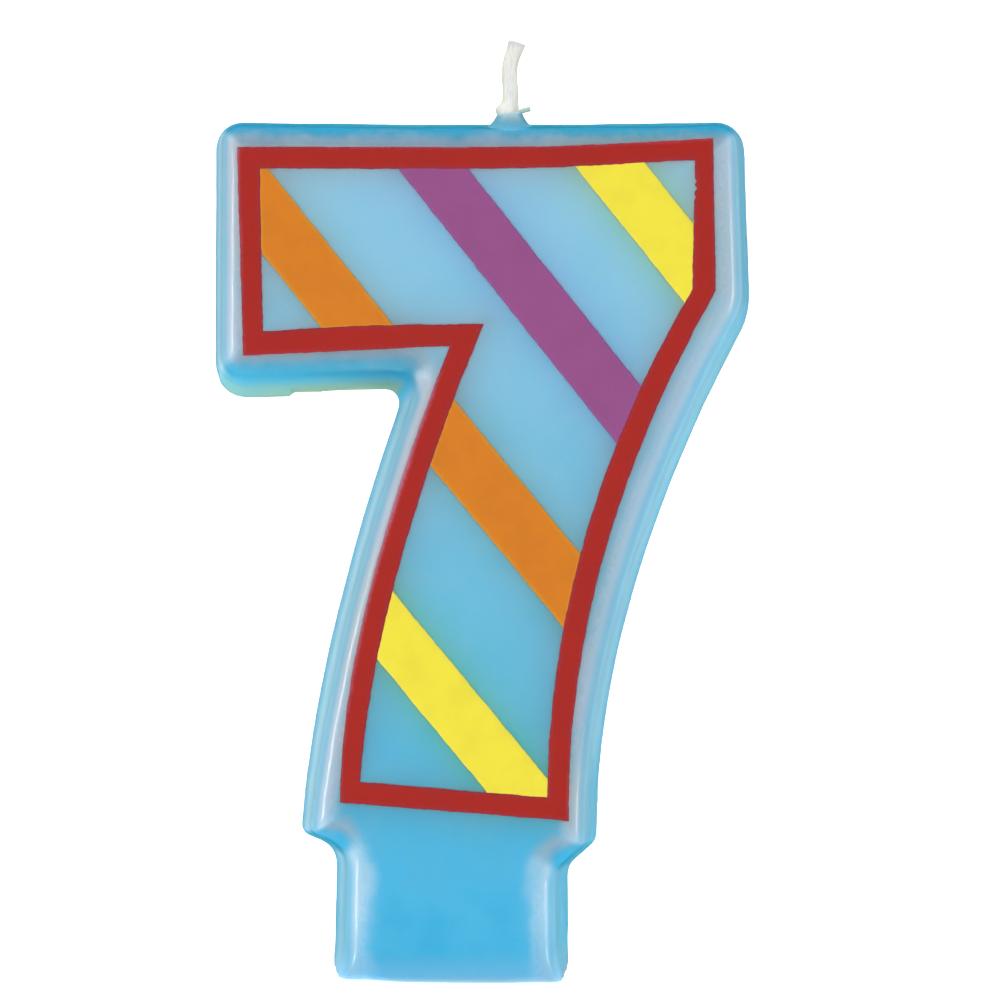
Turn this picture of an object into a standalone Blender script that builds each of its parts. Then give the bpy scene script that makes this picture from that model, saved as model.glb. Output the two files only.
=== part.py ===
"""Birthday candle shaped as the numeral 7.

The candle is one flat-backed wax casting that ends in a narrow foot, which is pushed into a cake.
A waxed wick runs down a blind channel in the casting and is held at its exit by a drip of wax.
The front face carries opaque ink: a border that follows the numeral, and slanting stripes in it.

The origin is the middle of the foot's base. X runs across the numeral, Z up it, and the printed
front faces -Y. Lengths below are in millimetres, angles in degrees.
"""

import bpy
import bmesh
from collections import namedtuple
from math import cos, pi, radians, sin, tan
from mathutils import Euler, Matrix, Vector

MM = 0.001

# The wax casting: its outline is the numeral's widest section, near the flat back.
THICKNESS = 10.0
DRAFT = 10.0              # the side walls lean in towards the front, so the casting leaves its mould
FRONT_ROUNDING = 2.3      # radius between the side walls and the front face
FRONT_STEPS = 7
BACK_LIP = 0.45           # depth of the rounded rim around the back face
LIP_STEPS = 3
CORNER_STEPS = 6
CURVE_STEPS = 8           # few enough that no point of a bowed edge is lost where the walls lean in
SMALLEST_CORNER = 0.9     # an outward corner gets no sharper than this as the walls lean in
CORNER_CLOSING = 0.55     # share of the lean that an outward corner's radius loses
CORNER_OPENING = 0.15     # share of the lean that an inward corner's radius gains

# Corners of the widest section, clockwise from the top left. A control point bows the edge onwards.
# The foot's cut end is pressed a little wider, so the walls hardly lean in there.
Corner = namedtuple("Corner", "x z radius control lean", defaults=(None, 1.0))
TOP = 76.2
TOP_SAG = 0.25            # how far the middle of the top edge lies below its ends
NUMERAL = (
    Corner(-21.3, TOP, 2.4, control=(2.55, TOP - 2 * TOP_SAG)),
    Corner(26.4, TOP, 2.6),
    Corner(27.0, 58.8, 7.0, control=(13.0, 33.0)),
    Corner(13.15, 11.3, 1.3),
    Corner(10.55, 9.0, 1.8),
    Corner(10.6, 1.9, 2.5),
    Corner(10.75, -0.2, 0.8, lean=0.35),
    Corner(10.6, -4.0, 0.5, lean=0.35),
    Corner(-10.6, -4.0, 0.5, lean=0.35),
    Corner(-10.75, -0.2, 0.8, lean=0.35),
    Corner(-10.6, 1.9, 2.5),
    Corner(-10.4, 10.7, 2.3),
    Corner(-13.65, 12.0, 1.0, control=(-12.5, 28.5)),
    Corner(-4.3, 52.0, 1.2),
    Corner(-21.4, 51.4, 2.9),
)
BASE_CUT = 0.0            # the foot's outline runs on below this height and is cut off flat here

# The wick, its channel and what seals it.
WICK_X = 5.15
WICK_RADIUS = 0.63
WICK_FOOT = 14.5          # height of the wick's lower end, above the foot
WICK_STUB = (             # where the wick runs above the top edge, in x and z
    (5.15, 76.2),
    (5.26, 77.2),
    (5.3, 78.1),
    (5.26, 79.1),
    (5.26, 80.2),
    (5.37, 81.0),
    (5.6, 81.75),
    (5.88, 82.45),
)
CHANNEL_RADIUS = 0.73
CHANNEL_FOOT = 14.2
SEAL_HEIGHT = 1.2
SEAL_BASE_RADIUS = 2.1
SEAL_TOP_RADIUS = 1.15
SEAL_BORE_RADIUS = 0.88
SEAL_STEPS = 6
SEAL_GAP = 0.06
STRAND_RADIUS = 0.2
STRAND_ROUTE = ((6.62, -0.5, 76.35), (6.95, -0.65, 76.6), (7.3, -0.7, 76.72))

# The ink on the front face.
INK_THICKNESS = 0.1
INK_GAP = 0.05            # between the ink and the wax behind it
STRIPE_GAP = 0.06         # between a stripe's end and the border
BORDER_OUTER = (
    ((-18.5, 72.7), None),
    ((8.3, 72.75), None),
    ((22.9, 73.45), None),
    ((23.1, 60.2), (10.05, 37.0)),
    ((10.35, 14.1), None),
    ((-9.55, 15.7), (-9.35, 31.9)),
    ((0.0, 55.4), None),
    ((-17.95, 54.55), None),
)
BORDER_INNER = (
    ((-16.5, 70.8), None),
    ((7.0, 70.85), None),
    ((21.3, 71.55), None),
    ((21.1, 60.35), (8.75, 39.3)),
    ((8.45, 16.15), None),
    ((-7.8, 17.5), (-6.55, 34.4)),
    ((2.95, 57.3), None),
    ((-6.9, 57.15), None),
    ((-16.25, 56.65), None),
)
RED = (0.42, 0.028, 0.022)
ORANGE = (0.69, 0.216, 0.022)
PURPLE = (0.314, 0.078, 0.262)
YELLOW = (0.905, 0.768, 0.053)
# Each stripe's name, a point on its middle line at its upper end, how far it runs down from there
# before the border trims it, its slope, its width and its colour.
STRIPES = (
    ("orange_stripe_upper", (-19.05, 70.85), 24.0, 51.3, 5.0, ORANGE),
    ("purple_stripe", (-1.5, 70.85), 40.0, 51.5, 4.75, PURPLE),
    ("yellow_stripe_upper", (14.15, 70.85), 30.0, 51.2, 4.9, YELLOW),
    ("orange_stripe_lower", (1.35, 45.4), 30.0, 50.6, 5.2, ORANGE),
    ("yellow_stripe_lower", (-3.3, 28.3), 30.0, 50.5, 4.8, YELLOW),
)
STRIPE_LEAD = 6.0         # every stripe also starts this far above its point
CUTTER_DEPTH = 4.0

WAX_BLUE = (0.11, 0.5, 0.74)
SEAL_BLUE = (0.25, 0.56, 0.62)
WICK_WHITE = (0.82, 0.82, 0.79)
STRAND_GREEN = (0.62, 0.74, 0.68)


def clear_scene():
    """Remove the objects that a new Blender file starts with."""
    for thing in list(bpy.data.objects):
        bpy.data.objects.remove(thing, do_unlink=True)


def make_collection(name):
    """Add a collection to the scene."""
    collection = bpy.data.collections.new(name)
    bpy.context.scene.collection.children.link(collection)
    return collection


def make_material(name, colour, roughness):
    """Make a plain material for one kind of surface."""
    material = bpy.data.materials.new(name)
    material.use_nodes = True
    shader = material.node_tree.nodes["Principled BSDF"]
    shader.inputs["Base Color"].default_value = (*colour, 1.0)
    shader.inputs["Roughness"].default_value = roughness
    shader.inputs["Metallic"].default_value = 0.0
    return material


def add_object(name, data, collection, material=None):
    """Put a mesh or a curve in the scene under its own name."""
    thing = bpy.data.objects.new(name, data)
    collection.objects.link(thing)
    if material:
        data.materials.append(material)
    return thing


def smooth_faces(mesh):
    """Shade a mesh smooth, apart from its sharp edges."""
    mesh.shade_smooth()
    mesh.set_sharp_from_angle(angle=radians(35))


def mesh_from_curve(curve_object, collection, material):
    """Turn a curve object into a welded mesh object with the same name and place."""
    name = curve_object.name
    graph = bpy.context.evaluated_depsgraph_get()
    mesh = bpy.data.meshes.new_from_object(curve_object.evaluated_get(graph))
    place = curve_object.matrix_world.copy()
    bpy.data.objects.remove(curve_object, do_unlink=True)
    shape = bmesh.new()
    shape.from_mesh(mesh)
    bmesh.ops.remove_doubles(shape, verts=shape.verts, dist=0.001 * MM)
    shape.to_mesh(mesh)
    shape.free()
    mesh.materials.clear()
    welded = add_object(name, mesh, collection, material)
    welded.matrix_world = place
    return welded


def cut(target, cutter, operation):
    """Cut one solid with another that stays out of sight."""
    modifier = target.modifiers.new(operation.title(), "BOOLEAN")
    modifier.operation = operation
    modifier.solver = "EXACT"
    modifier.object = cutter
    cutter.hide_render = True
    cutter.display_type = "WIRE"


def bowed(start, control, end):
    """Points along the curved edge from start up to, but not with, end."""
    points = []
    for step in range(CURVE_STEPS):
        t = step / CURVE_STEPS
        points.append(start * (1 - t) ** 2 + control * (2 * t * (1 - t)) + end * t ** 2)
    return points


def sharp_outline(corners):
    """Points of an outline whose corners, given as (x, z) and a control point, stay sharp."""
    points = []
    for index, (corner, control) in enumerate(corners):
        start = Vector(corner)
        end = Vector(corners[(index + 1) % len(corners)][0])
        points += bowed(start, Vector(control), end) if control else [start]
    return points


def inset_points(points, distance):
    """Move a clockwise outline inwards by a distance, with mitred corners."""
    moved = []
    for index, point in enumerate(points):
        before = (point - points[index - 1]).normalized()
        after = (points[(index + 1) % len(points)] - point).normalized()
        inward_before = Vector((before.y, -before.x))
        inward_after = Vector((after.y, -after.x))
        mitre = (inward_before + inward_after) / (1 + inward_before.dot(inward_after))
        moved.append(point + mitre * distance)
    return moved


def corner_arc(point, before, after, radius):
    """Points of the arc that rounds a corner between two unit directions."""
    turn = before.angle_signed(after)
    reach = radius * tan(abs(turn) / 2)
    start = point - before * reach
    side = 1.0 if turn > 0 else -1.0
    centre = start + Vector((before.y, -before.x)) * radius * side
    arc = []
    for step in range(CORNER_STEPS + 1):
        angle = -turn * step / CORNER_STEPS
        arc.append(centre + Matrix.Rotation(angle, 2) @ (start - centre))
    return arc


def numeral_ring(distance):
    """The numeral's rounded outline, moved inwards by a distance."""
    widest = sharp_outline([((corner.x, corner.z), corner.control) for corner in NUMERAL])
    points = inset_points(widest, distance)
    places = corner_places()
    for corner, index in zip(NUMERAL, places):
        points[index] = widest[index].lerp(points[index], corner.lean)
    ring = []
    for corner, index in zip(NUMERAL, places):
        point = points[index]
        before = (point - points[index - 1]).normalized()
        after = (points[(index + 1) % len(points)] - point).normalized()
        if before.angle_signed(after) > 0:
            radius = max(corner.radius - CORNER_CLOSING * distance,
                         min(corner.radius, SMALLEST_CORNER))
        else:
            radius = corner.radius + CORNER_OPENING * distance
        ring += corner_arc(point, before, after, radius)
        if corner.control:
            ring += points[index + 1:index + CURVE_STEPS]
    return ring


def corner_places():
    """Where each corner of the numeral stands in the sharp outline's list of points."""
    places = []
    count = 0
    for corner in NUMERAL:
        places.append(count)
        count += CURVE_STEPS if corner.control else 1
    return places


def top_height(x):
    """Height of the sagging top edge at a place across the numeral."""
    left, right = NUMERAL[0].x, NUMERAL[1].x
    t = (x - left) / (right - left)
    return TOP - TOP_SAG * 4 * t * (1 - t)


def wall_inset(depth):
    """How far the side wall has leant in at a distance from the start of its slope."""
    return depth * tan(radians(DRAFT))


def section_levels():
    """Pairs of (y, inset) from the back face, over its rim and down the wall, to the front face."""
    half = THICKNESS / 2
    levels = []
    for step in range(LIP_STEPS + 1):
        angle = pi / 2 * step / LIP_STEPS
        levels.append((half - BACK_LIP * (1 - cos(angle)), BACK_LIP * (1 - sin(angle))))
    slope_start = half - BACK_LIP
    centre_y = -half + FRONT_ROUNDING
    slope_end = centre_y - FRONT_ROUNDING * sin(radians(DRAFT))
    end_inset = wall_inset(slope_start - slope_end)
    centre_inset = end_inset + FRONT_ROUNDING * cos(radians(DRAFT))
    for step in range(FRONT_STEPS + 1):
        angle = radians(DRAFT + (90 - DRAFT) * step / FRONT_STEPS)
        y = centre_y - FRONT_ROUNDING * sin(angle)
        levels.append((y, centre_inset - FRONT_ROUNDING * cos(angle)))
    return levels


def make_wax_body(collection, cutters, material):
    """The casting, lofted from the back outline to the front one, cut flat and bored for the wick."""
    shape = bmesh.new()
    rings = []
    for y, inset in section_levels():
        rings.append([shape.verts.new((p.x * MM, y * MM, p.y * MM)) for p in numeral_ring(inset)])
    shape.faces.new(rings[0])
    shape.faces.new(reversed(rings[-1]))
    for back, front in zip(rings, rings[1:]):
        for index, vertex in enumerate(back):
            shape.faces.new((vertex, front[index], front[index - 1], back[index - 1]))
    everything = shape.verts[:] + shape.edges[:] + shape.faces[:]
    base = Vector((0.0, 0.0, BASE_CUT * MM))
    sliced = bmesh.ops.bisect_plane(shape, geom=everything, dist=0.0001 * MM, plane_co=base,
                                    plane_no=(0.0, 0.0, -1.0), clear_outer=True)
    rim = [item for item in sliced["geom_cut"] if isinstance(item, bmesh.types.BMEdge)]
    bmesh.ops.edgeloop_fill(shape, edges=rim)
    bmesh.ops.recalc_face_normals(shape, faces=shape.faces)
    mesh = bpy.data.meshes.new("wax_body")
    shape.to_mesh(mesh)
    shape.free()
    smooth_faces(mesh)
    body = add_object("wax_body", mesh, collection, material)
    cut(body, make_channel_cutter(cutters), "DIFFERENCE")
    return body


def make_channel_cutter(cutters):
    """The blind round channel that the wick stands in."""
    top = TOP + CUTTER_DEPTH
    shape = bmesh.new()
    middle = Matrix.Translation(Vector((WICK_X, 0.0, (top + CHANNEL_FOOT) / 2)) * MM)
    bmesh.ops.create_cone(shape, cap_ends=True, segments=16, radius1=CHANNEL_RADIUS * MM,
                          radius2=CHANNEL_RADIUS * MM, depth=(top - CHANNEL_FOOT) * MM, matrix=middle)
    mesh = bpy.data.meshes.new("channel_cutter")
    shape.to_mesh(mesh)
    shape.free()
    return add_object("channel_cutter", mesh, cutters)


def make_tube(name, points, radius, collection, material):
    """A round tube with closed ends through points given in millimetres."""
    curve = bpy.data.curves.new(name, "CURVE")
    curve.dimensions = "3D"
    curve.bevel_depth = radius * MM
    curve.bevel_resolution = 3
    curve.use_fill_caps = True
    spline = curve.splines.new("POLY")
    spline.points.add(len(points) - 1)
    for place, point in zip(spline.points, points):
        place.co = (*(Vector(point) * MM), 1.0)
    tube = add_object(name, curve, collection)
    return mesh_from_curve(tube, collection, material)


def make_wick(collection, material):
    """The wick: straight down its channel, with a short bent stub above the wax."""
    points = [(WICK_X, 0.0, WICK_FOOT)] + [(x, 0.0, z) for x, z in WICK_STUB]
    wick = make_tube("wick", points, WICK_RADIUS, collection, material)
    smooth_faces(wick.data)
    return wick


def make_loose_strand(collection, material):
    """One loose end of wick yarn that sticks out beside the seal."""
    strand = make_tube("loose_strand", STRAND_ROUTE, STRAND_RADIUS, collection, material)
    smooth_faces(strand.data)
    return strand


def make_wick_seal(collection, material):
    """The drip of wax around the wick, a turned ring with a hollow flank, square to the top wall."""
    mesh = bpy.data.meshes.new("wick_seal")
    profile = [(SEAL_BORE_RADIUS, SEAL_HEIGHT), (SEAL_TOP_RADIUS, SEAL_HEIGHT)]
    for step in range(1, SEAL_STEPS + 1):
        t = step / SEAL_STEPS
        flank = SEAL_TOP_RADIUS + (SEAL_BASE_RADIUS - SEAL_TOP_RADIUS) * t ** 2
        profile.append((flank, SEAL_HEIGHT * (1 - t)))
    profile.append((SEAL_BORE_RADIUS, 0.0))
    vertices = [(x * MM, 0.0, z * MM) for x, z in profile]
    edges = [(index, (index + 1) % len(profile)) for index in range(len(profile))]
    mesh.from_pydata(vertices, edges, [])
    seal = add_object("wick_seal", mesh, collection, material)
    screw = seal.modifiers.new("Turn", "SCREW")
    screw.axis = "Z"
    screw.steps = 24
    screw.render_steps = 24
    screw.use_merge_vertices = True
    screw.merge_threshold = 0.001 * MM
    lean = Euler((radians(DRAFT), 0.0, 0.0))
    wall_height = top_height(WICK_X) - wall_inset(THICKNESS / 2 - BACK_LIP)
    lift = lean.to_matrix() @ Vector((0.0, 0.0, SEAL_GAP))
    seal.rotation_euler = lean
    seal.location = (Vector((WICK_X, 0.0, wall_height)) + lift) * MM
    return seal


def flat_film(name, outlines, collection, material):
    """A flat film of ink on the front face, from outlines in x and z; a second one is a hole."""
    curve = bpy.data.curves.new(name, "CURVE")
    curve.dimensions = "2D"
    curve.fill_mode = "BOTH"
    curve.extrude = INK_THICKNESS / 2 * MM
    for outline in outlines:
        spline = curve.splines.new("POLY")
        spline.points.add(len(outline) - 1)
        spline.use_cyclic_u = True
        for place, point in zip(spline.points, outline):
            place.co = (point.x * MM, point.y * MM, 0.0, 1.0)
    film = add_object(name, curve, collection)
    front = -(THICKNESS / 2 + INK_GAP + INK_THICKNESS / 2) * MM
    film.matrix_world = Matrix.Translation((0.0, front, 0.0)) @ Matrix.Rotation(pi / 2, 4, "X")
    bpy.context.view_layer.update()
    return mesh_from_curve(film, collection, material)


def make_border_print(collection, material):
    """The printed border, a band that follows the numeral a little way in from its edge."""
    outlines = [sharp_outline(BORDER_OUTER), sharp_outline(BORDER_INNER)]
    return flat_film("border_print", outlines, collection, material)


def make_stripe(stripe, collection, cutters, material):
    """One slanting stripe, trimmed by the border's inner edge."""
    name, upper_end, run, slope, width, _colour = stripe
    field = inset_points(sharp_outline(BORDER_INNER), STRIPE_GAP)
    film = flat_film(name, [field], collection, material)
    shape = bmesh.new()
    bmesh.ops.create_cube(shape, size=1.0)
    bmesh.ops.scale(shape, vec=Vector((STRIPE_LEAD + run, CUTTER_DEPTH, width)) * MM,
                    verts=shape.verts)
    bmesh.ops.translate(shape, vec=Vector(((run - STRIPE_LEAD) / 2, 0.0, 0.0)) * MM,
                        verts=shape.verts)
    mesh = bpy.data.meshes.new(name + "_band")
    shape.to_mesh(mesh)
    shape.free()
    band = add_object(name + "_band", mesh, cutters)
    band.location = Vector((upper_end[0], -THICKNESS / 2, upper_end[1])) * MM
    band.rotation_euler = (0.0, radians(slope), 0.0)
    cut(film, band, "INTERSECT")
    return film


def build_candle():
    """Make every piece of the candle."""
    clear_scene()
    pieces = make_collection("numeral_candle")
    cutters = make_collection("cutters")
    make_wax_body(pieces, cutters, make_material("blue_wax", WAX_BLUE, 0.35))
    make_wick(pieces, make_material("waxed_cotton", WICK_WHITE, 0.7))
    make_wick_seal(pieces, make_material("seal_wax", SEAL_BLUE, 0.3))
    make_loose_strand(pieces, make_material("strand_cotton", STRAND_GREEN, 0.7))
    make_border_print(pieces, make_material("red_ink", RED, 0.5))
    for stripe in STRIPES:
        ink = make_material(stripe[0] + "_ink", stripe[5], 0.5)
        make_stripe(stripe, pieces, cutters, ink)


build_candle()
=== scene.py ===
"""Looks of the numeral birthday candle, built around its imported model.

The casting is remeshed finely and gets the unevenness of poured wax. The ink is draped on it as thin
films, the wick becomes a waxed braid, and its seal a meniscus that runs out onto the casting.
Lengths are in millimetres where a name says nothing else; MM turns them into the frame's metres.
"""

from math import atan, cos, pi, radians, sin
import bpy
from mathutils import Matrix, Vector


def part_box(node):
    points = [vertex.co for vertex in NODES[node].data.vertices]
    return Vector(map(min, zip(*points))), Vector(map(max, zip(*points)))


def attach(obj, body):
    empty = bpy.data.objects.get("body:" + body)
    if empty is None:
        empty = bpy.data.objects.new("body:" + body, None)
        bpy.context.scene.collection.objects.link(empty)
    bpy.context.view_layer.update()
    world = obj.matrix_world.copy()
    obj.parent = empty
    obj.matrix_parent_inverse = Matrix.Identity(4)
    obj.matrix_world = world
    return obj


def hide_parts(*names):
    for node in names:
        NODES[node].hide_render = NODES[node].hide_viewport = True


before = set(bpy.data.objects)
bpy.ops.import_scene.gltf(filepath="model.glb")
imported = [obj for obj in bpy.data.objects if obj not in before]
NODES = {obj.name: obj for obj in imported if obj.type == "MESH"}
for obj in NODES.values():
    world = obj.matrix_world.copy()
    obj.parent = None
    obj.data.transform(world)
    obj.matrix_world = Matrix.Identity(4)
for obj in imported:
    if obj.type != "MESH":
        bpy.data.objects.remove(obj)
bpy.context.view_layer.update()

from types import SimpleNamespace

import bmesh
import bpy
import numpy as np
from mathutils import Vector, noise
from mathutils.bvhtree import BVHTree
from mathutils.geometry import delaunay_2d_cdt

MM = 0.001
WAX_LOW, WAX_HIGH = (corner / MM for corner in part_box("wax_body"))
FRONT = WAX_LOW.y
TOP = WAX_HIGH.z


# ---------------------------------------------------------------- small tools

def srgb(red, green, blue):
    """A colour given as display values from 0 to 255, as linear RGBA."""
    linear = []
    for value in (red, green, blue):
        share = value / 255
        linear.append(share / 12.92 if share <= 0.04045 else ((share + 0.055) / 1.055) ** 2.4)
    return (*linear, 1.0)


def smoothstep(low, high, value):
    """0 below low, 1 above high and smooth between them; works on numbers and arrays."""
    share = np.clip((value - low) / (high - low), 0.0, 1.0)
    return share * share * (3 - 2 * share)


def curve_point(start, lead, end, tail, t):
    """The point at t from 0 to 1 of a curve that leaves start along lead and reaches end along tail."""
    return (start * (2 * t ** 3 - 3 * t ** 2 + 1) + lead * (t ** 3 - 2 * t ** 2 + t)
            + end * (3 * t ** 2 - 2 * t ** 3) + tail * (t ** 3 - t ** 2))


def add_object(name, mesh, material):
    """Put a finished mesh in the scene, shaded smooth."""
    mesh.name = name
    mesh.materials.clear()
    mesh.materials.append(material)
    mesh.shade_smooth()
    thing = bpy.data.objects.new(name, mesh)
    bpy.context.scene.collection.objects.link(thing)
    return thing


def stand_for(thing, node):
    """The piece rides on the candle's one body and is shown in place of a CAD node."""
    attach(thing, "root")
    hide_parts(node)


def mesh_points(mesh):
    """A mesh's vertices in millimetres, one row each."""
    points = np.empty(len(mesh.vertices) * 3)
    mesh.vertices.foreach_get("co", points)
    return points.reshape(-1, 3) / MM


def set_points(mesh, points):
    """Write vertices given in millimetres back to a mesh."""
    mesh.vertices.foreach_set("co", (points * MM).astype(np.float32).ravel())
    mesh.update()


def mesh_normals(mesh):
    """A mesh's vertex normals, one row each."""
    normals = np.empty(len(mesh.vertices) * 3)
    mesh.vertex_normals.foreach_get("vector", normals)
    return normals.reshape(-1, 3)


def add_attribute(mesh, name, values):
    """Store one number for each vertex, for the materials to read."""
    attribute = mesh.attributes.new(name, "FLOAT", "POINT")
    attribute.data.foreach_set("value", np.asarray(values, np.float32))


def mesh_from(shape, name):
    """Turn a finished bmesh into a mesh."""
    bmesh.ops.recalc_face_normals(shape, faces=shape.faces)
    mesh = bpy.data.meshes.new(name)
    shape.to_mesh(mesh)
    shape.free()
    return mesh


def surface_tree(thing):
    """An object's surface, ready to be hit by rays."""
    shape = bmesh.new()
    shape.from_mesh(thing.data)
    tree = BVHTree.FromBMesh(shape)
    shape.free()
    return tree


def wander(point, size, seed):
    """Smooth noise from -1 to 1 over features of a size in millimetres."""
    return noise.noise(Vector(point) / size + Vector((seed, seed * 1.7, -seed)))


# ---------------------------------------------------------------- material tools

class Paint:
    """A material with short calls for the nodes that feed its Principled shader."""

    def __init__(self, name):
        self.material = bpy.data.materials.new(name)
        self.material.use_nodes = True
        self.tree = self.material.node_tree
        self.shader = self.tree.nodes["Principled BSDF"]
        self.place = self.node("ShaderNodeTexCoord").outputs["Object"]

    def node(self, kind, inputs=None, **settings):
        """Add a node; an input is a value or another node's output."""
        made = self.tree.nodes.new(kind)
        for key, value in settings.items():
            setattr(made, key, value)
        for key, value in (inputs or {}).items():
            self.feed(made.inputs[key], value)
        return made

    def feed(self, socket, value):
        """Link an output to a socket, or set the socket's own value."""
        if isinstance(value, bpy.types.NodeSocket):
            self.tree.links.new(value, socket)
        else:
            socket.default_value = value

    def set(self, **values):
        """Set or link the shader's sockets; an underscore stands for a space."""
        for key, value in values.items():
            self.feed(self.shader.inputs[key.replace("_", " ")], value)

    def math(self, operation, first, second=0.0):
        """One arithmetic step."""
        return self.node("ShaderNodeMath", {0: first, 1: second}, operation=operation).outputs[0]

    def times(self, *values):
        """The product of several values."""
        product = values[0]
        for value in values[1:]:
            product = self.math("MULTIPLY", product, value)
        return product

    def parts(self, vector):
        """The x, y and z of a vector."""
        return self.node("ShaderNodeSeparateXYZ", {0: vector}).outputs[:3]

    def normal(self):
        """The x, y and z of the direction that the surface faces."""
        return self.parts(self.node("ShaderNodeNewGeometry").outputs["Normal"])

    def span(self, value, low, high, start=0.0, end=1.0):
        """Map a value smoothly from one span to another."""
        inputs = {"Value": value, "From Min": low, "From Max": high, "To Min": start, "To Max": end}
        return self.node("ShaderNodeMapRange", inputs, interpolation_type="SMOOTHSTEP").outputs[0]

    def mix(self, share, first, second, blend="MIX"):
        """Blend two colours."""
        made = self.node("ShaderNodeMix", data_type="RGBA", blend_type=blend)
        for index, value in ((0, share), (6, first), (7, second)):
            self.feed(made.inputs[index], value)
        return made.outputs[2]

    def noise(self, size, detail=2.0, stretch=(1.0, 1.0, 1.0), roughness=0.5):
        """Noise over features of a size in millimetres, stretched along the axes."""
        scale = [1 / (size * MM * share) for share in stretch]
        placed = self.node("ShaderNodeVectorMath", {0: self.place, 1: scale}, operation="MULTIPLY")
        inputs = {"Vector": placed.outputs[0], "Scale": 1.0, "Detail": detail, "Roughness": roughness}
        return self.node("ShaderNodeTexNoise", inputs).outputs["Fac"]

    def ramp(self, value, stops):
        """Colours along a value, as (position, colour) stops."""
        made = self.node("ShaderNodeValToRGB", {0: value})
        elements = made.color_ramp.elements
        elements.remove(elements[1])
        elements[0].position, elements[0].color = stops[0]
        for position, colour in stops[1:]:
            elements.new(position).color = colour
        return made.outputs[0]

    def attribute(self, name):
        """A number stored on the mesh."""
        return self.node("ShaderNodeAttribute", attribute_name=name).outputs["Fac"]

    def bump(self, height, depth, strength=1.0):
        """Surface relief from a height of 0 to 1 that stands for a depth in millimetres."""
        inputs = {"Height": height, "Distance": depth * MM, "Strength": strength}
        self.set(Normal=self.node("ShaderNodeBump", inputs).outputs[0])


# ---------------------------------------------------------------- outlines and distances

def face_outlines(node, direction):
    """Closed outlines, in x and z, of a CAD node's flat face that looks along or against Y."""
    shape = bmesh.new()
    shape.from_mesh(NODES[node].data)
    bmesh.ops.remove_doubles(shape, verts=shape.verts, dist=0.0005 * MM)
    flat = {face for face in shape.faces if face.normal.y * direction > 0.9999}
    rim = {edge for edge in shape.edges if sum(face in flat for face in edge.link_faces) == 1}
    outlines = []
    while rim:
        edge = rim.pop()
        start, vertex = edge.verts
        outline = [start]
        while vertex != start:
            outline.append(vertex)
            edge = next(link for link in vertex.link_edges if link in rim)
            rim.remove(edge)
            vertex = edge.other_vert(vertex)
        outlines.append([Vector((v.co.x, v.co.z)) / MM for v in outline])
    shape.free()
    return outlines


def edges_at(outline, index):
    """The edges before and after an outline's point."""
    return outline[index] - outline[index - 1], outline[(index + 1) % len(outline)] - outline[index]


def turns_past(outline, index, limit):
    """Whether the outline turns more than a limit at a point."""
    before, after = edges_at(outline, index)
    return abs(before.angle_signed(after)) > limit


def edge_distances(points, outlines, lowest=-1e9):
    """Distance in the front plane from each point to the nearest edge that isn't below a height."""
    nearest = np.full(len(points), 1e9)
    for outline in outlines:
        corners = np.array([tuple(point) for point in outline])
        for start, end in zip(corners, np.roll(corners, -1, axis=0)):
            if max(start[1], end[1]) > lowest:
                run = end - start
                along = np.clip((points - start) @ run / (run @ run), 0.0, 1.0)
                gap = np.linalg.norm(points - start - along[:, None] * run, axis=1)
                nearest = np.minimum(nearest, gap)
    return nearest


def inside(points, outlines):
    """Whether each point lies between the outlines, counting crossings."""
    odd = np.zeros(len(points), bool)
    for outline in outlines:
        corners = np.array([tuple(point) for point in outline])
        for (x0, z0), (x1, z1) in zip(corners, np.roll(corners, -1, axis=0)):
            if z0 != z1:
                spans = (points[:, 1] < z0) != (points[:, 1] < z1)
                odd ^= spans & (points[:, 0] < x0 + (points[:, 1] - z0) * (x1 - x0) / (z1 - z0))
    return odd


# ---------------------------------------------------------------- the wax casting

VOXEL = 0.25
ARC_TURN = radians(25)    # edges of a curve turn less than this from one to the next
SMOOTHING_ROUNDS = 6
CORNER_ROUNDS = 26        # the foot's front corners are worn round
HEEL_ROUNDS = 14          # and its back ones a little
UNEVENNESS = 0.06         # most that the poured surface wanders from the mould's shape
BACK_LIP = 0.45           # the rim's rounding stands this far outside the flat back face
BACK_SINK = 0.22          # the open back sinks this much as the wax shrinks
ARM_BELOW, ARM_ABOVE = 48, 54   # the arm's underside lies between these heights
STEP_X = -14.7            # a step in the mould's parting line, under the arm
STEP_WIDTH = 0.5
STEP_DROP = 0.35
FOOT_TILT = 0.4           # the foot is cut a little out of square
NICKS = (                 # x, y, z, radius and depth of small dents
    (-8.9, -2.9, 74.2, 0.5, 0.16),
    (25.0, -3.9, 68.0, 0.45, 0.1),
    (-3.4, -4.4, 53.1, 0.5, 0.12),
    (-12.2, -3.6, 13.4, 0.6, 0.12),
)
INK_SHADE_REACH = 1.4         # painted shade: the wax beside the ink is darkened over about this distance
INK_SHADE_SHARES = {                # share of red, green and blue that the painted shade beside each print takes from that wax
    "border_print": (-0.04, 0.22, 0.25),
    "orange_stripe_upper": (0.06, 0.20, 0.28),
    "orange_stripe_lower": (0.06, 0.20, 0.28),
    "purple_stripe": (0.16, 0.22, 0.12),
    "yellow_stripe_upper": (0.05, 0.07, 0.38),
    "yellow_stripe_lower": (0.05, 0.07, 0.38),
}
DEEP_CORNERS = (                 # x, z and radius of inward corners that are coloured a darker, deeper blue
    (-9.6, 12.1, 1.5),
    (9.9, 10.6, 1.5),
    (-4.3, 52.2, 1.6),
)


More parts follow.
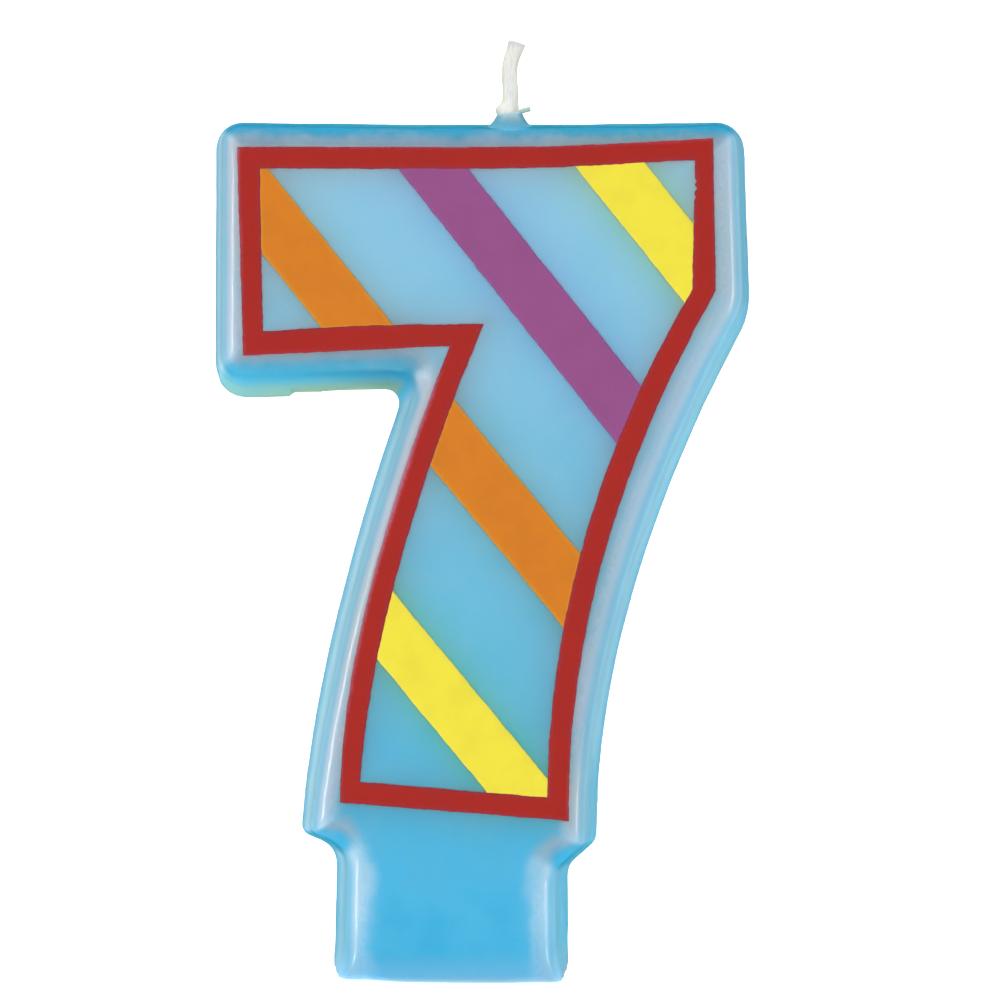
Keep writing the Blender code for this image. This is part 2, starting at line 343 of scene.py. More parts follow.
def remeshed_casting():
    """The CAD casting as an even, fine mesh that lies on its surface."""
    source = bpy.data.objects.new("casting_source", NODES["wax_body"].data.copy())
    bpy.context.scene.collection.objects.link(source)
    remesh = source.modifiers.new("Even", "REMESH")
    remesh.mode = "VOXEL"
    remesh.voxel_size = VOXEL * MM
    wrap = source.modifiers.new("True", "SHRINKWRAP")
    wrap.target = NODES["wax_body"]
    wrap.wrap_method = "NEAREST_SURFACEPOINT"
    graph = bpy.context.evaluated_depsgraph_get()
    mesh = bpy.data.meshes.new_from_object(source.evaluated_get(graph))
    bpy.data.objects.remove(source, do_unlink=True)
    return mesh


def joint_direction(outline, index, edge):
    """Direction of the curve at an outline's point, or that of the edge itself at a true corner."""
    if turns_past(outline, index, ARC_TURN):
        return edge.normalized()
    before, after = edges_at(outline, index)
    if before.length > 2 * after.length:
        return before.normalized()
    if after.length > 2 * before.length:
        return after.normalized()
    return (before.normalized() + after.normalized()).normalized()


def bend_walls(mesh, outlines):
    """Move the walls from the chords of the CAD mesh to the curves they stand for."""
    points = mesh_points(mesh)
    flat = points[:, (0, 2)]
    nearest = np.full(len(flat), 1e9)
    shift = np.zeros((len(flat), 2))
    for outline in outlines:
        for index, start in enumerate(outline):
            following = (index + 1) % len(outline)
            edge = outline[following] - start
            lead = np.array(joint_direction(outline, index, edge) * edge.length)
            tail = np.array(joint_direction(outline, following, edge) * edge.length)
            first, run = np.array(start), np.array(edge)
            along = np.clip((flat - first) @ run / (run @ run), 0.0, 1.0)[:, None]
            chord = first + along * run
            gap = np.linalg.norm(flat - chord, axis=1)
            closer = gap < nearest
            nearest[closer] = gap[closer]
            curve = curve_point(first, lead, first + run, tail, along[closer])
            shift[closer] = curve - chord[closer]
    points[:, (0, 2)] = flat + shift * smoothstep(5.0, 3.0, nearest)[:, None]
    set_points(mesh, points)


def soften(mesh):
    """Round the mesh's edges by moving each point towards its neighbours, most at the foot's corners."""
    points = mesh_points(mesh)
    ends = np.empty(len(mesh.edges) * 2, np.int64)
    mesh.edges.foreach_get("vertices", ends)
    first, second = ends[::2], ends[1::2]
    degree = np.bincount(ends, minlength=len(points))[:, None]
    corner = smoothstep(4.5, 7.5, np.abs(points[:, :1])) * smoothstep(4.0, 2.4, points[:, 2:])
    front = smoothstep(1.0, -1.0, points[:, 1:2])
    rounds = SMOOTHING_ROUNDS + corner * (CORNER_ROUNDS * front + HEEL_ROUNDS * (1 - front))
    for count in range(int(rounds.max()) + 1):
        total = np.zeros_like(points)
        for axis in range(3):
            total[:, axis] = (np.bincount(first, points[second, axis], len(points))
                              + np.bincount(second, points[first, axis], len(points)))
        points += 0.5 * np.clip(rounds - count, 0.0, 1.0) * (total / degree - points)
    set_points(mesh, points)


def weather_casting(mesh, inset):
    """Give the casting the unevenness of poured wax, its parting step, sunken back and small dents."""
    points = mesh_points(mesh)
    normals = mesh_normals(mesh)
    rounded = 1 - smoothstep(0.96, 0.995, np.abs(normals[:, 1]))
    back = smoothstep(0.9, 0.99, normals[:, 1])
    offsets = np.zeros(len(points))
    for index, point in enumerate(points):
        if rounded[index] > 0 or back[index] > 0:
            waves = 0.65 * wander(point, 5.0, 1.3) + 0.35 * wander(point, 1.9, 4.1)
            offsets[index] = (waves - 0.3) * UNEVENNESS * max(rounded[index], back[index])
    offsets -= BACK_SINK * back * smoothstep(0.8, 4.5, inset)
    for x, y, z, radius, depth in NICKS:
        distance = np.linalg.norm(points - (x, y, z), axis=1)
        offsets -= depth * np.exp(-(distance / radius) ** 2)
    points += normals * offsets[:, None]
    under = smoothstep(0.2, 0.7, -normals[:, 2]) * smoothstep(1.5, 3.6, points[:, 1])
    under *= (points[:, 2] < ARM_ABOVE) * (points[:, 2] > ARM_BELOW)
    points[:, 2] -= STEP_DROP * under * smoothstep(STEP_X + STEP_WIDTH, STEP_X, points[:, 0])
    sole = 1 - smoothstep(0.0, 2.0, points[:, 2])
    points[:, 2] += FOOT_TILT * sole * (-0.1 - points[:, 0] / 20)
    points[:, 2] = np.maximum(points[:, 2], 0.0)
    set_points(mesh, points)


def store_inset_shade_and_corners(mesh, inset):
    """Store how far in each point lies, the painted shade beside the ink, and the inward corners coloured
    deeper blue.
    """
    points = mesh_points(mesh)
    flat = points[:, (0, 2)]
    near_front = smoothstep(-2.0, -4.4, points[:, 1])
    light = np.ones((len(points), 4), np.float32)
    for node, shares in INK_SHADE_SHARES.items():
        close = np.exp(-edge_distances(flat, face_outlines(node, -1)) / INK_SHADE_REACH) * near_front
        light[:, :3] *= 1 - close[:, None] * np.array(shares)
    attribute = mesh.attributes.new("ink_shade", "FLOAT_COLOR", "POINT")
    attribute.data.foreach_set("color", light.ravel())
    deep = np.zeros(len(points))
    for x, z, radius in DEEP_CORNERS:
        distance = np.linalg.norm(flat - (x, z), axis=1)
        deep = np.maximum(deep, np.exp(-(distance / radius) ** 2))
    add_attribute(mesh, "deep_corner", deep)
    add_attribute(mesh, "inset", inset)


def make_casting():
    """The wax numeral."""
    mesh = remeshed_casting()
    outline = face_outlines("wax_body", 1)
    bend_walls(mesh, outline)
    soften(mesh)
    flat = mesh_points(mesh)[:, (0, 2)]
    distance = edge_distances(flat, outline, lowest=0.1)
    inset = BACK_LIP + np.where(inside(flat, outline) | (flat[:, 1] < 0.1), distance, -distance)
    weather_casting(mesh, inset)
    store_inset_shade_and_corners(mesh, inset)
    casting = add_object("wax_casting", mesh, wax_material())
    stand_for(casting, "wax_body")
    return casting


WAX_RESPONSE = (0.86, 0.94, 0.97)
WAX_IOR = 1.43
TONE_REACH = 4.0          # the walls' tones change over this distance in from the outline


def wax_tone(red, green, blue):
    """The dye colour that makes the wax look like a tone; scattering inside it loses some light."""
    tone = srgb(red, green, blue)
    return (*(min(1.0, value / share) for value, share in zip(tone, WAX_RESPONSE)), 1.0)


def wax_places(paint):
    """Where on the casting a point lies and which way it faces, for the wax's tones and gloss."""
    at = SimpleNamespace()
    at.across, at.depth, at.up = paint.normal()
    at.x, at.y, at.z = paint.parts(paint.place)
    at.inset = paint.attribute("inset")
    at.clouds = paint.noise(4.5, 3.0)
    at.curds = paint.noise(1.1, 3.0)
    at.ragged = paint.math("ADD", at.inset, paint.math("ADD", paint.span(at.clouds, 0.3, 0.7, -0.3, 0.3),
                                                       paint.span(at.curds, 0.3, 0.7, -0.13, 0.13)))
    at.reach = paint.math("SUBTRACT", at.ragged, paint.span(at.z, 18 * MM, 10 * MM, 0.0, 0.3))
    at.numeral = paint.span(at.z, 3 * MM, 6 * MM)
    at.bowed = paint.times(paint.span(at.z, 16 * MM, 22 * MM), paint.span(at.z, 60 * MM, 52 * MM))
    squares = paint.math("ADD", paint.times(at.up, at.up), paint.times(at.across, at.across))
    slant = paint.math("SQRT", squares)
    level = paint.math("DIVIDE", paint.math("ABSOLUTE", at.up), paint.math("MAXIMUM", slant, 0.001))
    at.level = paint.times(level, at.numeral)
    return at


def face_tone(paint, at):
    """The flat face: paler towards the top."""
    height = paint.math("ADD", paint.math("DIVIDE", at.z, TOP * MM),
                        paint.span(at.clouds, 0.3, 0.7, -0.04, 0.04))
    return paint.ramp(height, (
        (0.03, wax_tone(70, 180, 221)),
        (0.10, wax_tone(82, 186, 226)),
        (0.17, wax_tone(87, 185, 222)),
        (0.32, wax_tone(103, 188, 220)),
        (0.45, wax_tone(111, 191, 222)),
        (0.64, wax_tone(128, 195, 223)),
        (0.81, wax_tone(137, 199, 227)),
        (0.95, wax_tone(143, 201, 227)),
    ))


def level_tone(paint, at):
    """Walls that face up or down: painted shade makes them a deeper, darker blue, greyer where they round
    into the face.
    """
    shifted = paint.math("SUBTRACT", at.ragged, paint.span(at.up, 0.0, 0.5, 0.0, 0.28))
    return paint.ramp(paint.math("DIVIDE", shifted, TONE_REACH), (
        (0.10, wax_tone(58, 163, 204)),
        (0.34, wax_tone(50, 156, 196)),
        (0.46, wax_tone(82, 160, 192)),
        (0.62, wax_tone(124, 172, 198)),
        (0.85, wax_tone(138, 180, 202)),
    ))


def upright_tone(paint, at, face):
    """Walls that face left or right: painted shade deepens those facing right; a whitish bloom, partly real
    frost and partly painted highlight, lies where they round into the face.
    """
    # tones across the wall, partly painted light and shade: darker at the back edge, paler on the wall,
    # darker where it turns into the rounding
    tone = paint.ramp(paint.math("DIVIDE", at.inset, TONE_REACH), (
        (0.05, wax_tone(112, 186, 220)),
        (0.18, wax_tone(155, 211, 234)),
        (0.30, wax_tone(149, 207, 230)),
        (0.45, wax_tone(112, 178, 208)),
    ))
    # painted shade: walls that face right are darker towards the back, less so on the curved stretch
    deep = paint.times(paint.span(at.across, 0.4, 0.9), paint.span(at.inset, 1.5, 0.9, 0.0, 0.85),
                       paint.math("SUBTRACT", 1.0, paint.times(at.bowed, 0.45)))
    tone = paint.mix(deep, tone, wax_tone(98, 177, 212))
    tone = paint.mix(paint.span(at.z, 16 * MM, 8 * MM, 0.0, 0.3), tone, face)
    tone = paint.mix(paint.span(at.ragged, 1.9, 3.2), tone, face)

    # the bloom is partly real frost and partly painted highlight: less of it on the curved right wall,
    # whiter on walls that face left
    bare = paint.times(paint.span(at.across, 0.3, 0.7), paint.span(at.inset, 3.0, 2.2, 0.0, 0.7), at.bowed)
    bloom_and_highlight = paint.times(paint.span(at.inset, 1.5, 2.35, 0.0, 0.75), paint.span(at.reach, 4.8, 2.2),
                        paint.span(at.z, 0.5 * MM, 7.0 * MM, 0.5, 1.0), paint.math("SUBTRACT", 1.0, bare))
    bloom_highlight_white = paint.mix(paint.span(at.z, 6 * MM, 20 * MM), wax_tone(176, 212, 232), wax_tone(172, 203, 222))
    bloom_highlight_white = paint.mix(paint.span(at.across, -0.2, -0.6, 0.0, 0.8), bloom_highlight_white, wax_tone(188, 215, 230))
    return paint.mix(bloom_and_highlight, tone, bloom_highlight_white)


def wax_colour(paint, at):
    """The face and wall tones with the rim's tint, painted bounce light, pale specks, a painted highlight
    at the foot and painted shade by the ink.
    """
    face = face_tone(paint, at)
    walls = paint.mix(paint.span(at.level, 0.4, 0.85), upright_tone(paint, at, face), level_tone(paint, at))
    # painted light: walls that face down are lifted to a lighter blue against the shade beneath them
    below = paint.times(paint.span(at.up, -0.3, -0.7, 0.0, 0.6), at.numeral)
    walls = paint.mix(below, walls, wax_tone(78, 172, 206))
    # inward corners are coloured a darker, deeper blue
    deep_corner_share = paint.span(paint.attribute("deep_corner"), 0.25, 1.0, 0.0, 0.9)
    walls = paint.mix(deep_corner_share, walls, wax_tone(62, 172, 214))
    within = paint.math("MAXIMUM", paint.span(at.reach, 3.0, 4.6), paint.span(at.depth, 0.6, 0.95))
    colour = paint.mix(within, walls, face)

    # painted bounce light: a yellow-green tint on the arm's underside towards the back stands for light
    # from the table; a fainter tint runs along the back rim
    under_arm_bounce = paint.times(paint.span(at.up, -0.3, -0.8), paint.span(at.z, 40 * MM, 46 * MM),
                            paint.span(at.y, -2.0 * MM, 3.5 * MM, 0.0, 0.75),
                            paint.span(at.x, -20 * MM, -11 * MM, 0.7, 1.0))
    rim = paint.math("MAXIMUM", under_arm_bounce, paint.span(at.y, 4.0 * MM, 4.9 * MM, 0.0, 0.3))
    rim = paint.times(rim, paint.span(at.depth, 0.9, 0.5))
    colour = paint.mix(rim, colour, wax_tone(138, 170, 124))
    specks = paint.times(paint.span(paint.noise(0.22, 1.0), 0.7, 0.78, 0.0, 0.12), within)
    colour = paint.mix(specks, colour, wax_tone(190, 215, 228))
    # painted highlight: the foot's lowest millimetres are paler, standing for the light along its bottom
    # edge
    colour = paint.mix(paint.span(at.z, 3.0 * MM, 0.6 * MM, 0.0, 0.3), colour, wax_tone(150, 196, 224))
    colour = paint.mix(paint.span(at.z, 0.7 * MM, 0.1 * MM, 0.0, 0.8), colour, wax_tone(148, 184, 200))
    # painted shade: the wax beside each print is darkened, standing for the light that the ink keeps out of
    # it
    ink_shade = paint.node("ShaderNodeAttribute", attribute_name="ink_shade").outputs["Color"]
    return paint.mix(1.0, colour, ink_shade, blend="MULTIPLY")


def wax_roughness(paint, at):
    """Polished on the rounding, with small dull spots there, and satin on the face and the back."""
    polish = paint.math("MAXIMUM", paint.span(at.inset, 2.5, 4.2, 0.2, 0.44),
                        paint.span(at.depth, 0.3, 0.8, 0.0, 0.44))
    rounding = paint.times(paint.span(at.inset, 1.8, 2.3), paint.span(at.inset, 3.8, 3.0),
                           paint.span(at.level, 0.6, 0.2), paint.span(at.depth, 0.3, 0.0))
    spots = paint.times(paint.span(paint.noise(0.5, 2.0), 0.4, 0.65, -0.03, 0.07), rounding)
    return paint.math("ADD", polish, spots)


def wax_material():
    """Dyed paraffin: chalky on the flat face, painted shade deepens the walls, and a bloom of real frost
    and painted highlight lies on the rounding.
    """
    paint = Paint("blue_wax")
    at = wax_places(paint)
    shine = paint.math("MAXIMUM", paint.span(at.inset, 0.9, 1.9, 0.05, 0.5),
                       paint.span(at.depth, 0.3, 0.8, 0.05, 0.5))
    paint.set(Base_Color=wax_colour(paint, at), Roughness=wax_roughness(paint, at))
    paint.set(Subsurface_Weight=1.0, Subsurface_Radius=(0.5, 0.85, 1.0), Subsurface_Scale=0.9 * MM)
    paint.set(IOR=WAX_IOR, Specular_IOR_Level=shine)
    paint.bump(paint.math("ADD", at.clouds, paint.times(at.curds, 0.2)), 0.03)
    return paint.material


# ---------------------------------------------------------------- the ink

INK_STEP = 0.16           # distance between points along an ink edge
INK_GRID = 0.3            # distance between points inside a film
SHARP_TURN = radians(12)  # an outline turns more than this only at a true corner
EDGE_WANDER = 0.05        # how far a printed edge strays
BORDER_THICKNESS = 0.035
STRIPE_THICKNESS = 0.018
EDGE_THINNING = 0.5       # share of its thickness that a film keeps at its edge
INK_ROOT = 0.01           # the film's back lies this far in the wax
TUCK = 0.25               # a stripe runs this far on under the border
EDGE_REACH = 1.0          # the edge attribute runs from 0 at an edge to 1 this far in
FADE_DROP = 0.3           # a left edge fades where the wax falls this far below the flat face
CHIPS = (                 # x, z, radius and depth of flakes lost from the border's inner edge
    (21.2, 69.7, 0.22, 0.2),
    (21.25, 69.1, 0.18, 0.26),
    (21.2, 68.3, 0.2, 0.14),
    (21.15, 66.2, 0.15, 0.1),
    (20.95, 62.9, 0.15, 0.1),
)


def fine_outline(outline):
    """The same outline with closely set points, round where its points stand for a curve."""
    count = len(outline)
    points = []
    for index, start in enumerate(outline):
        following = (index + 1) % count
        end = outline[following]
        before, after = outline[index - 1], outline[(index + 2) % count]
        if turns_past(outline, index, SHARP_TURN):
            before = start * 2 - end
        if turns_past(outline, following, SHARP_TURN):
            after = end * 2 - start
        length = (end - start).length
        lead = (end - before).normalized() * length
        tail = (after - start).normalized() * length
        steps = max(1, round(length / INK_STEP))
        for step in range(steps):
            points.append(curve_point(start, lead, end, tail, step / steps))
    return points


def strayed(point):
    """A point of a printed edge, moved a little as screen printing does."""
    place = Vector((point.x, 0.0, point.y))
    shift = Vector((wander(place, 1.6, 2.2), wander(place, 1.6, 7.9)))
    shift += Vector((wander(place, 0.45, 3.1), wander(place, 0.45, 9.4))) * 0.7
    for x, z, radius, depth in CHIPS:
        gap = (point - Vector((x, z))).length / radius
        place.x += depth * np.exp(-gap ** 2)
    return Vector((place.x, place.z)) + shift * EDGE_WANDER


def tucked(outline):
    """A stripe's outline whose ends run on, along the stripe, under the border."""
    count = len(outline)
    edges = [outline[(index + 1) % count] - outline[index] for index in range(count)]
    along = max(edges, key=lambda edge: edge.length).normalized()
    reaches = [point.dot(along) for point in outline]
    middle = (min(reaches) + max(reaches)) / 2
    return [point + along * (TUCK if reach > middle else -TUCK) for point, reach in zip(outline, reaches)]


def film_mesh(name, outlines, thickness, wax):
    """A closed film that hugs the wax, with a soft edge."""
    corners = np.array([tuple(point) for outline in outlines for point in outline])
    low, high = corners.min(axis=0), corners.max(axis=0)
    grid = np.array([(x, z) for z in np.arange(low[1], high[1], INK_GRID)
                     for x in np.arange(low[0], high[0], INK_GRID)])
    grid = grid[inside(grid, outlines)]
    grid = grid[edge_distances(grid, outlines) > INK_GRID * 0.4]
    edges = []
    for outline in outlines:
        first = len(edges)
        edges += [(first + index, first + (index + 1) % len(outline)) for index in range(len(outline))]
    flat = [Vector(point) for point in np.vstack((corners, grid))]
    flat, _edges, faces, *_origins = delaunay_2d_cdt(flat, edges, [], 1, 0.0001)
    flat = np.array([tuple(point) for point in flat])
    middles = np.array([flat[list(face)].mean(axis=0) for face in faces])
    faces = [face for face, kept in zip(faces, inside(middles, outlines)) if kept]
    distances = edge_distances(flat, outlines)

    shape = bmesh.new()
    tops, roots, drops = [], [], []
    for (x, z), distance in zip(flat, distances):
        hit, normal = wax.ray_cast(Vector((x, FRONT - 5, z)) * MM, Vector((0.0, 1.0, 0.0)))[:2]
        surface = hit.y / MM
        drops.append((surface - FRONT) / FADE_DROP * smoothstep(0.05, 0.4, -normal.x))
        lift = thickness * (EDGE_THINNING if distance < 0.01 else 1.0)
        tops.append(shape.verts.new(Vector((x, surface - lift, z)) * MM))
        roots.append(shape.verts.new(Vector((x, surface + INK_ROOT, z)) * MM))
    for face in faces:
        shape.faces.new([tops[index] for index in face])
        shape.faces.new([roots[index] for index in reversed(face)])
    twins = dict(zip(tops, roots))
    for edge in [edge for edge in shape.edges if edge.is_boundary and edge.verts[0] in twins]:
        near, far = edge.verts
        shape.faces.new((far, near, twins[near], twins[far]))
    loose = [vertex for vertex in shape.verts if not vertex.link_faces]
    kept = np.array([bool(vertex.link_faces) for vertex in tops])
    bmesh.ops.delete(shape, geom=loose, context="VERTS")
    mesh = mesh_from(shape, name)
    add_attribute(mesh, "edge", np.repeat(np.clip(distances[kept] / EDGE_REACH, 0.0, 1.0), 2))
    add_attribute(mesh, "drop", np.repeat(np.clip(np.array(drops)[kept], 0.0, 1.0), 2))
    return mesh


def ink_material(name, colour, thin_colour):
    """Screen ink: even in the middle of a band, stained by the wax at its edges, faded on the rounding."""
    paint = Paint(name)
    grain = paint.noise(0.3, 2.0)
    patches = paint.noise(2.6, 3.0)
    cover = paint.math("ADD", paint.attribute("edge"), paint.span(grain, 0.3, 0.7, -0.08, 0.08))
    body = paint.mix(paint.span(cover, 0.0, 0.45), thin_colour, colour)
    body = paint.mix(paint.span(patches, 0.35, 0.7, 0.0, 0.06), body, srgb(60, 30, 40))
    rounding = paint.times(paint.attribute("drop"), paint.span(cover, 0.9, 0.0))
    body = paint.mix(paint.span(rounding, 0.0, 1.0, 0.0, 0.62), body, srgb(190, 138, 164))
    paint.set(Base_Color=body, Roughness=paint.span(grain, 0.25, 0.75, 0.45, 0.6))
    paint.set(Specular_IOR_Level=0.3)
    paint.bump(grain, 0.006)
    return paint.material


def make_ink(casting):
    """The border and the stripes."""
    wax = surface_tree(casting)
    red = ink_material("red_ink", srgb(173, 25, 11), srgb(161, 41, 50))
    orange = ink_material("orange_ink", srgb(216, 124, 10), srgb(214, 140, 28))
    purple = ink_material("purple_ink", srgb(150, 77, 137), srgb(148, 82, 146))
    yellow = ink_material("yellow_ink", srgb(242, 226, 58), srgb(238, 225, 72))
    films = (
        ("border_print", "red_ink", red),
        ("orange_stripe_upper", "orange_ink", orange),
        ("orange_stripe_lower", "orange_ink", orange),
        ("purple_stripe", "purple_ink", purple),
        ("yellow_stripe_upper", "yellow_ink", yellow),
        ("yellow_stripe_lower", "yellow_ink", yellow),
    )
    for node, slot, material in films:
        outlines = face_outlines(node, -1)
        thickness = BORDER_THICKNESS
        if node != "border_print":
            outlines = [tucked(outline) for outline in outlines]
            thickness = STRIPE_THICKNESS
        outlines = [[strayed(point) for point in fine_outline(outline)] for outline in outlines]
        film = add_object(node + "_film", film_mesh(node, outlines, thickness, wax), material)
        stand_for(film, node)


# ---------------------------------------------------------------- the wick, its seal and a loose strand

WICK_LINE = (             # x and z of the wick's middle line
    (5.15, 14.5),
    (5.15, 40.0),
    (5.15, 70.0),
    (5.15, 75.6),
    (5.18, 76.4),
    (5.28, 77.3),
    (5.3, 78.1),
    (5.26, 79.1),
    (5.26, 80.2),
    (5.37, 81.0),
    (5.62, 81.75),
    (5.87, 82.55),
)
WICK_WIDE = 0.68          # half widths of the flattened braid
WICK_DEEP = 0.52
WICK_SIDES = 48
WICK_STEP = 0.08
HIDDEN_STEP = 1.0         # rings are this far apart inside the wax
HIDDEN_BELOW = 75
STRAND_LINE = ((5.7, -0.3, 76.15), (6.2, -0.45, 76.38), (6.65, -0.6, 76.52), (7.02, -0.68, 76.6))
STRAND_RADIUS = 0.22
STRAND_SIDES = 20
STRAND_STEP = 0.06
SEAL_X = 5.2
SEAL_TOP = 76.2
SEAL_WIDE = 2.3
SEAL_NARROW = 1.13
SEAL_SPOKES = 64
SEAL_STEPS = 14           # rings between the wick and the thin edge
SEAL_CURVE = 2.2          # how steeply the meniscus falls away from the wick
SEAL_SINK = 0.05          # its thin edge lies this far inside the casting


def curve_points(points, step_at):
    """Points along a smooth curve through given ones, set as far apart as step_at says."""
    line = [Vector(point) for point in points]
    places = []
    for index in range(len(line) - 1):
        start, end = line[index], line[index + 1]
        before = line[max(index - 1, 0)]
        after = line[min(index + 2, len(line) - 1)]
        length = (end - start).length
        lead = (end - before).normalized() * length
        tail = (after - start).normalized() * length
        steps = max(1, round(length / step_at(start)))
        for step in range(steps):
            places.append(curve_point(start, lead, end, tail, step / steps))
    return places + [line[-1]]


def swept_mesh(name, line, sides, outline):
    """A closed tube along a line in the front plane; outline gives each ring's reach at an angle."""
    shape = bmesh.new()
    rings = []
    for index, centre in enumerate(line):
        ahead = (line[min(index + 1, len(line) - 1)] - line[max(index - 1, 0)]).normalized()
        right = Vector((ahead.z, 0.0, -ahead.x)).normalized()
        deep = ahead.cross(right)
        ring = []
        for side in range(sides):
            angle = 2 * pi * side / sides
            wide, far = outline(index, centre, angle)
            ring.append(shape.verts.new((centre + right * wide + deep * far) * MM))
        rings.append(ring)
    for lower, upper in zip(rings, rings[1:]):
        for side in range(sides):
            shape.faces.new((lower[side - 1], lower[side], upper[side], upper[side - 1]))
    shape.faces.new(rings[0])
    tip = line[-1] + (line[-1] - line[-2]).normalized() * 0.04
    point = shape.verts.new(tip * MM)
    for side in range(sides):
        shape.faces.new((rings[-1][side - 1], rings[-1][side], point))
    return mesh_from(shape, name)


def wick_reach(_index, centre, angle):
    """The braid's section: an uneven oval with strands, wider at the wax and at the cut end."""
    strands = 1 + 0.045 * cos(3 * angle + centre.z * 0.9) + 0.02 * cos(7 * angle - centre.z * 2.1)
    spot = (cos(angle) * 2, sin(angle) * 2, centre.z * 0.5)
    fibres = 1 + 0.05 * wander(spot, 0.5, 5.5)
    end = 1 + 0.12 * smoothstep(81.6, 82.5, centre.z)
    flare = 0.4 * np.exp(-((centre.z - 76.55) / 0.6) ** 2) * max(0.0, -cos(angle)) ** 2
    lip = 0.18 * np.exp(-((centre.z - 76.4) / 0.6) ** 2)
    size = strands * fibres * end
    return (WICK_WIDE * size + lip) * cos(angle) - flare, (WICK_DEEP * size + lip) * sin(angle)


def wick_material():
    """White fibres under wax, grey at the cut end, with painted shade that makes the sides facing left and
    right darker and yellower.
    """
    paint = Paint("waxed_cotton")
    fibre = paint.noise(0.16, 3.0, stretch=(1.0, 1.0, 7.0))
    cloud = paint.noise(0.9, 2.0)
    z = paint.parts(paint.place)[2]
    turned = paint.math("ABSOLUTE", paint.normal()[0])
    colour = paint.ramp(fibre, ((0.25, srgb(222, 220, 215)), (0.6, srgb(242, 240, 236))))
    colour = paint.mix(paint.span(cloud, 0.35, 0.7, 0.0, 0.5), colour, srgb(230, 229, 220))
    # painted shade: the braid's sides, facing left and right, are darker and yellower
    colour = paint.mix(paint.span(turned, 0.3, 0.95, 0.0, 0.8), colour, srgb(200, 196, 168))
    colour = paint.mix(paint.span(z, 81.9 * MM, 82.6 * MM, 0.0, 0.6), colour, srgb(190, 189, 204))
    paint.set(Base_Color=colour, Roughness=0.6, Specular_IOR_Level=0.3)
    paint.set(Subsurface_Weight=0.5, Subsurface_Radius=(1.0, 0.95, 0.85), Subsurface_Scale=0.3 * MM)
    paint.bump(fibre, 0.03)
    return paint.material


def make_wick():
    """The waxed cotton braid, from deep in the wax to its cut end."""
    line = curve_points([(x, 0.0, z) for x, z in WICK_LINE],
                        lambda place: WICK_STEP if place.z > HIDDEN_BELOW else HIDDEN_STEP)
    wick = add_object("wick_braid", swept_mesh("wick", line, WICK_SIDES, wick_reach), wick_material())
    stand_for(wick, "wick")


def strand_reach(index, _centre, angle):
    """The yarn's section: nearly round, and uneven along its length."""
    size = STRAND_RADIUS * (1 + 0.12 * wander((cos(angle), sin(angle), index * 0.2), 0.7, 8.2))
    return size * cos(angle), size * sin(angle)


def make_strand():
    """A loose end of yarn beside the wick."""
    paint = Paint("strand_cotton")
    fibre = paint.noise(0.12, 2.0)
    paint.set(Base_Color=paint.ramp(fibre, ((0.3, srgb(170, 190, 178)), (0.7, srgb(200, 214, 206)))))
    paint.set(Roughness=0.65, Specular_IOR_Level=0.3)
    paint.bump(fibre, 0.02)
    line = curve_points(STRAND_LINE, lambda place: STRAND_STEP)
    mesh = swept_mesh("strand", line, STRAND_SIDES, strand_reach)
    strand = add_object("loose_strand_yarn", mesh, paint.material)
    stand_for(strand, "loose_strand")


def seal_point(wax, t, angle):
    """A point of the meniscus, t of the way from the wick out to its thin edge."""
    spot = (cos(angle), sin(angle), 0.0)
    reach = (SEAL_NARROW + (SEAL_WIDE - SEAL_NARROW) * t) * (1 + 0.05 * wander(spot, 0.8, 6.1) * t)
    x, y = SEAL_X + reach * cos(angle), reach * sin(angle)
    hit = wax.ray_cast(Vector((x, y, TOP + 5)) * MM, Vector((0.0, 0.0, -1.0)))[0]
    ground = hit.z / MM - SEAL_SINK
    crest = SEAL_TOP + 0.12 * cos(angle) + 0.05 * wander((cos(angle), sin(angle), 1.0), 0.5, 2.8)
    return Vector((x, y, ground + max(crest - ground, 0.0) * (1 - t) ** SEAL_CURVE))


def seal_mesh(wax):
    """The meniscus, closed above by a low cone round the wick and below by one inside the wax."""
    shape = bmesh.new()
    rings = []
    for step in range(SEAL_STEPS + 1):
        angles = [2 * pi * spoke / SEAL_SPOKES for spoke in range(SEAL_SPOKES)]
        rings.append([shape.verts.new(seal_point(wax, step / SEAL_STEPS, angle) * MM) for angle in angles])
    for inner, outer in zip(rings, rings[1:]):
        for spoke in range(SEAL_SPOKES):
            shape.faces.new((inner[spoke - 1], inner[spoke], outer[spoke], outer[spoke - 1]))
    lid = shape.verts.new(Vector((SEAL_X, 0.0, SEAL_TOP + 0.05)) * MM)
    root = shape.verts.new(Vector((SEAL_X, 0.0, SEAL_TOP - 3.0)) * MM)
    for spoke in range(SEAL_SPOKES):
        shape.faces.new((rings[0][spoke], rings[0][spoke - 1], lid))
        shape.faces.new((rings[-1][spoke - 1], rings[-1][spoke], root))
    return mesh_from(shape, "seal")


